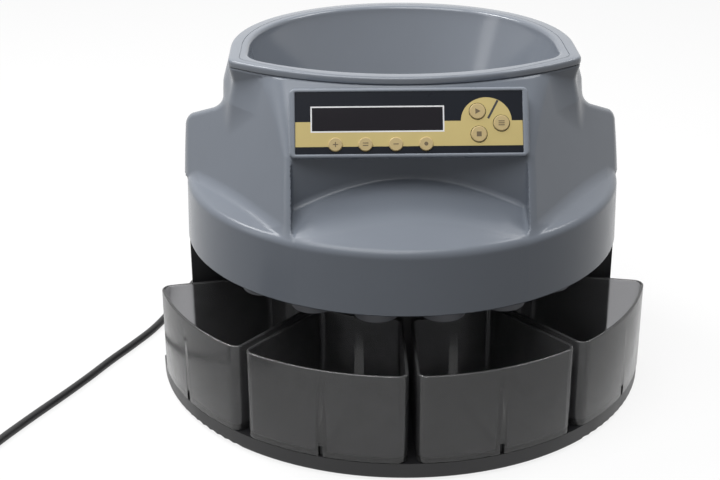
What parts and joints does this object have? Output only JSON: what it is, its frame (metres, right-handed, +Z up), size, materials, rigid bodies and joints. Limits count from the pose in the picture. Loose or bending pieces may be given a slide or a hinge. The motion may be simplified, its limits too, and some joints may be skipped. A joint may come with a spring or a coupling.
{
  "type": "electronic coin counter",
  "caption": "Round counter-top coin counter with a hopper on top, a sloping panel with a display and buttons, and smoke-tinted pull-out cups round its base.",
  "frame": {"origin": "on the table, under the middle of the machine's box without its lead", "axes": "+Z up, front with the panel and cups towards -Y, +X to the right seen from the front"},
  "size_m": [0.5629, 0.5197, 0.2454],
  "materials": {
    "base_black": "fine moulded grain",
    "foot_rubber": "matt",
    "cup_smoke": "smoke-tinted, glossy",
    "housing_grey": "glossy moulded",
    "bezel_grey": "satin moulded",
    "chute_pale": "moulded",
    "steel": "brushed",
    "bright_steel": "ground",
    "belt_rubber": "matt",
    "pad_rubber": "matt",
    "motor_case": "satin",
    "board_green": "solder mask",
    "core_steel": "laminated",
    "switch_black": "satin",
    "label_black": "printed film",
    "window_dark": "tinted, glossy",
    "display_black": "matt",
    "button_gold": "satin",
    "cord_black": "satin sheath",
    "pin_metal": "plated"
  },
  "bodies": {
    "frame": {"base_plate": "base_black", "rubber_feet": "foot_rubber", "lower_housing": "base_black", "coin_deck": "steel", "coin_chutes_1": "chute_pale", "coin_chutes_2": "chute_pale", "coin_chutes_3": "chute_pale", "coin_chutes_4": "chute_pale", "sorting_track": "steel", "coin_sensors": "switch_black", "shaft_bearings": "bright_steel", "bearing_hub": "chute_pale", "drive_belt": "belt_rubber", "drive_motor": "motor_case", "motor_plate": "steel", "motor_posts": "steel", "main_board": "board_green", "board_standoffs": "chute_pale", "power_supply": "core_steel", "power_switch": "switch_black", "upper_housing": "housing_grey", "hopper_funnel": "housing_grey", "panel_bezel": "bezel_grey", "membrane_label": "label_black", "display_window": "window_dark", "display_module": "display_black", "panel_board": "board_green", "strain_relief": "cord_black", "cord": "cord_black", "cord_coil": "cord_black", "cord_tie": "cord_black", "plug": "cord_black", "plug_pins": "pin_metal"},
    "cup_1": {"coin_cup_1": "cup_smoke"},
    "cup_2": {"coin_cup_2": "cup_smoke"},
    "cup_3": {"coin_cup_3": "cup_smoke"},
    "cup_4": {"coin_cup_4": "cup_smoke"},
    "spindle": {"turntable": "steel", "turntable_pad": "pad_rubber", "hub_cap": "housing_grey", "main_shaft": "bright_steel", "drive_pulley": "chute_pale"},
    "rotor": {"motor_pulley": "steel", "motor_shaft": "bright_steel"},
    "rocker": {"switch_rocker": "switch_black"},
    "key_start": {"button_start": "button_gold"},
    "key_mode": {"button_mode": "button_gold"},
    "key_batch": {"button_batch": "button_gold"},
    "key_plus": {"button_plus": "button_gold"},
    "key_total": {"button_total": "button_gold"},
    "key_minus": {"button_minus": "button_gold"},
    "key_set": {"button_set": "button_gold"}
  },
  "joints": [
    {"name": "cup_1_slide", "type": "slide", "parent": "frame", "child": "cup_1", "axis": [-0.8526, -0.5225, 0], "range_m": [0, 0.08]},
    {"name": "cup_2_slide", "type": "slide", "parent": "frame", "child": "cup_2", "axis": [-0.3338, -0.9426, 0], "range_m": [0, 0.08]},
    {"name": "cup_3_slide", "type": "slide", "parent": "frame", "child": "cup_3", "axis": [0.3338, -0.9426, 0], "range_m": [0, 0.08]},
    {"name": "cup_4_slide", "type": "slide", "parent": "frame", "child": "cup_4", "axis": [0.8526, -0.5225, 0], "range_m": [0, 0.08]},
    {"name": "turntable_spin", "type": "hinge", "parent": "frame", "child": "spindle", "pos_m": [0, 0.01161, 0.12], "axis": [0, 0, 1], "continuous": true},
    {"name": "motor_spin", "type": "hinge", "parent": "frame", "child": "rotor", "pos_m": [0, 0.08961, 0.085], "axis": [0, 0, 1], "continuous": true},
    {"name": "switch_tilt", "type": "hinge", "parent": "frame", "child": "rocker", "pos_m": [0.024, 0.15861, 0.06], "axis": [1, 0, 0], "range_deg": [-14, 0]},
    {"name": "start_press", "type": "slide", "parent": "frame", "child": "key_start", "axis": [0, 0.866, -0.5], "range_m": [0, 0.0006], "stiffness_N_per_m": 300, "springref_m": -0.0005},
    {"name": "mode_press", "type": "slide", "parent": "frame", "child": "key_mode", "axis": [0, 0.866, -0.5], "range_m": [0, 0.0006], "stiffness_N_per_m": 300, "springref_m": -0.0005},
    {"name": "batch_press", "type": "slide", "parent": "frame", "child": "key_batch", "axis": [0, 0.866, -0.5], "range_m": [0, 0.0006], "stiffness_N_per_m": 300, "springref_m": -0.0005},
    {"name": "plus_press", "type": "slide", "parent": "frame", "child": "key_plus", "axis": [0, 0.866, -0.5], "range_m": [0, 0.0006], "stiffness_N_per_m": 300, "springref_m": -0.0005},
    {"name": "total_press", "type": "slide", "parent": "frame", "child": "key_total", "axis": [0, 0.866, -0.5], "range_m": [0, 0.0006], "stiffness_N_per_m": 300, "springref_m": -0.0005},
    {"name": "minus_press", "type": "slide", "parent": "frame", "child": "key_minus", "axis": [0, 0.866, -0.5], "range_m": [0, 0.0006], "stiffness_N_per_m": 300, "springref_m": -0.0005},
    {"name": "set_press", "type": "slide", "parent": "frame", "child": "key_set", "axis": [0, 0.866, -0.5], "range_m": [0, 0.0006], "stiffness_N_per_m": 300, "springref_m": -0.0005}
  ],
  "couplings": [
    {"joint": "motor_spin", "follows": "turntable_spin", "ratio": 3.4545}
  ]
}
